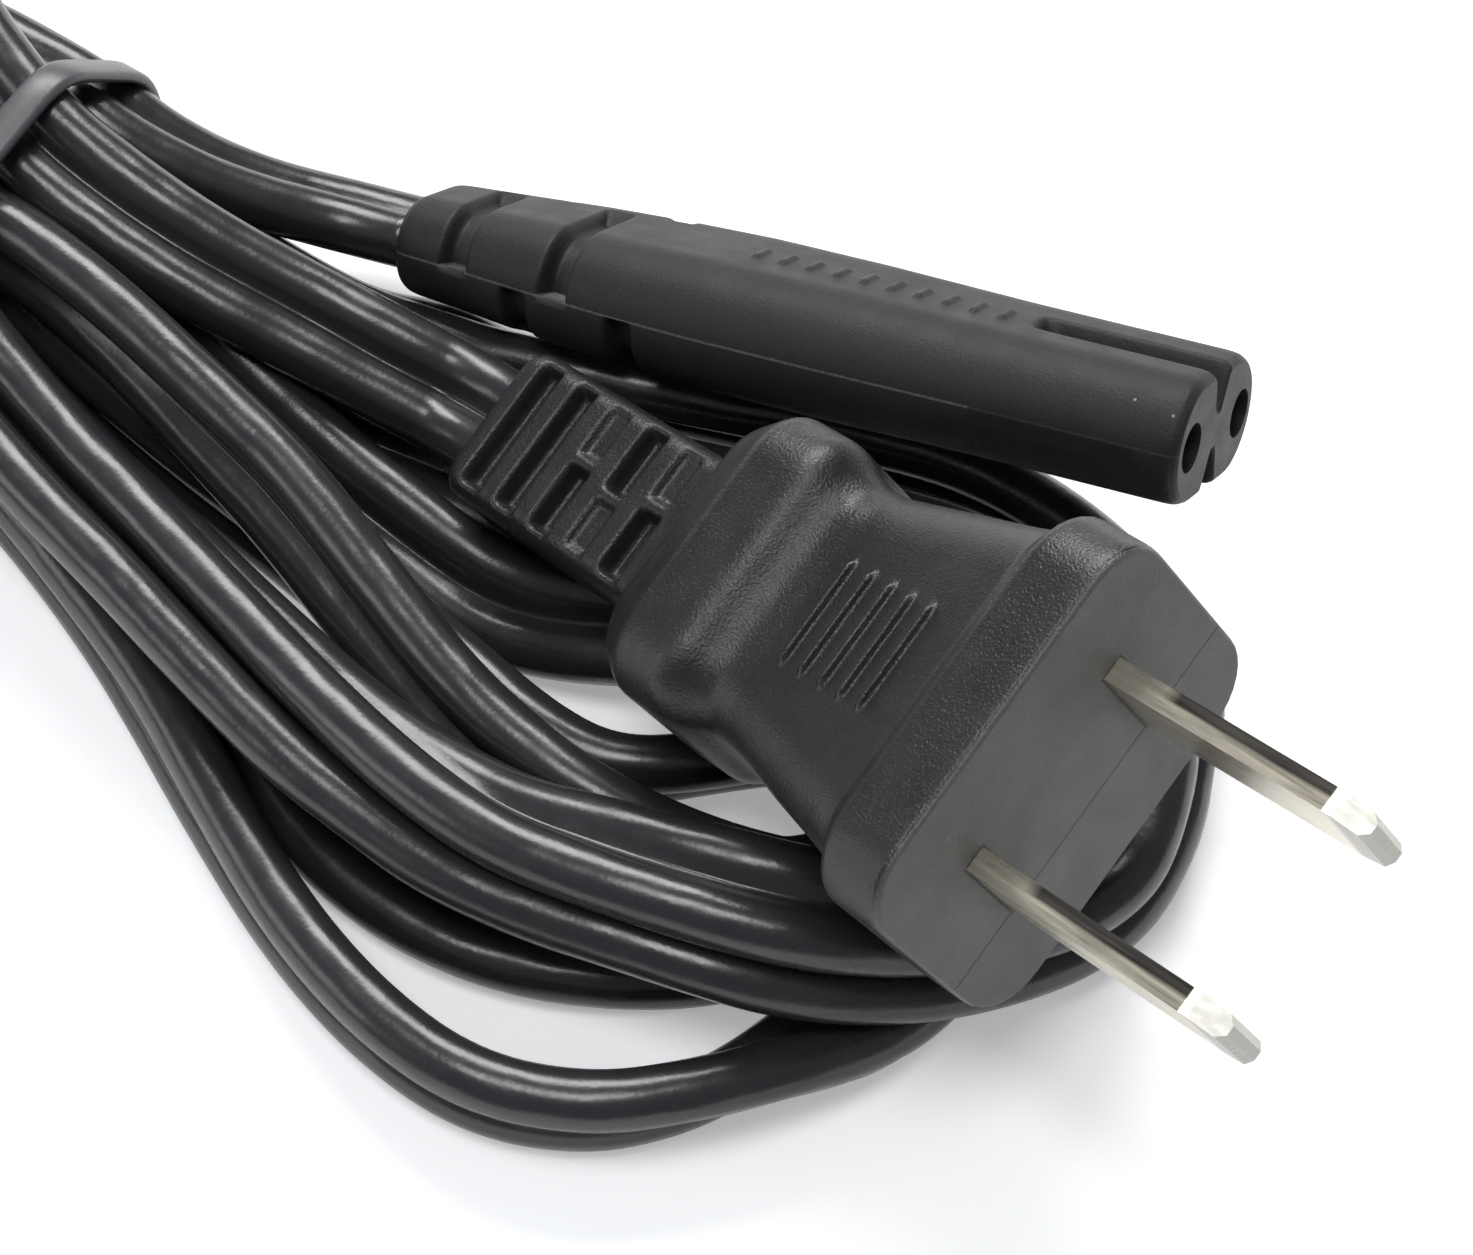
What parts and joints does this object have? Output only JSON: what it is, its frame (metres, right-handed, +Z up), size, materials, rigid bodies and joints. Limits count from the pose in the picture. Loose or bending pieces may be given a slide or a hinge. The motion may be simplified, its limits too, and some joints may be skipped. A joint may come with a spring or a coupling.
{
  "type": "power cord",
  "caption": "Flat twin power cord tied in a hank, with a moulded flat-blade plug and a moulded pin connector.",
  "frame": {"origin": "middle of the bounding box, on the floor that the cord lies on", "axes": "+X along the hank, from the loops at the left to the plug's blades; +Z up from the floor"},
  "size_m": [0.1698, 0.0636, 0.0354],
  "materials": {
    "plug_moulding": "satin",
    "connector_moulding": "matt",
    "cord": "smooth, soft sheen",
    "core_insulation": "smooth",
    "hard_inner_plastic": "plain",
    "blade_metal": "nickel plated",
    "contact_metal": "plain",
    "conductor": "stranded copper",
    "tie": "smooth",
    "tie_wire": "plain"
  },
  "bodies": {
    "root": {"plug_body": "plug_moulding", "plug_blade_carrier": "hard_inner_plastic", "plug_blade_left": "blade_metal", "plug_blade_right": "blade_metal", "plug_core_left": "core_insulation", "plug_core_right": "core_insulation", "plug_conductor_left": "conductor", "plug_conductor_right": "conductor", "connector_body": "connector_moulding", "connector_contact_carrier": "hard_inner_plastic", "contact_sleeve_left": "contact_metal", "contact_sleeve_right": "contact_metal", "connector_core_left": "core_insulation", "connector_core_right": "core_insulation", "connector_conductor_left": "conductor", "connector_conductor_right": "conductor", "cord_plug_lead": "cord", "cord_connector_lead": "cord", "cord_hank": "cord", "tie_ribbon": "tie", "tie_wire": "tie_wire"}
  },
  "joints": []
}
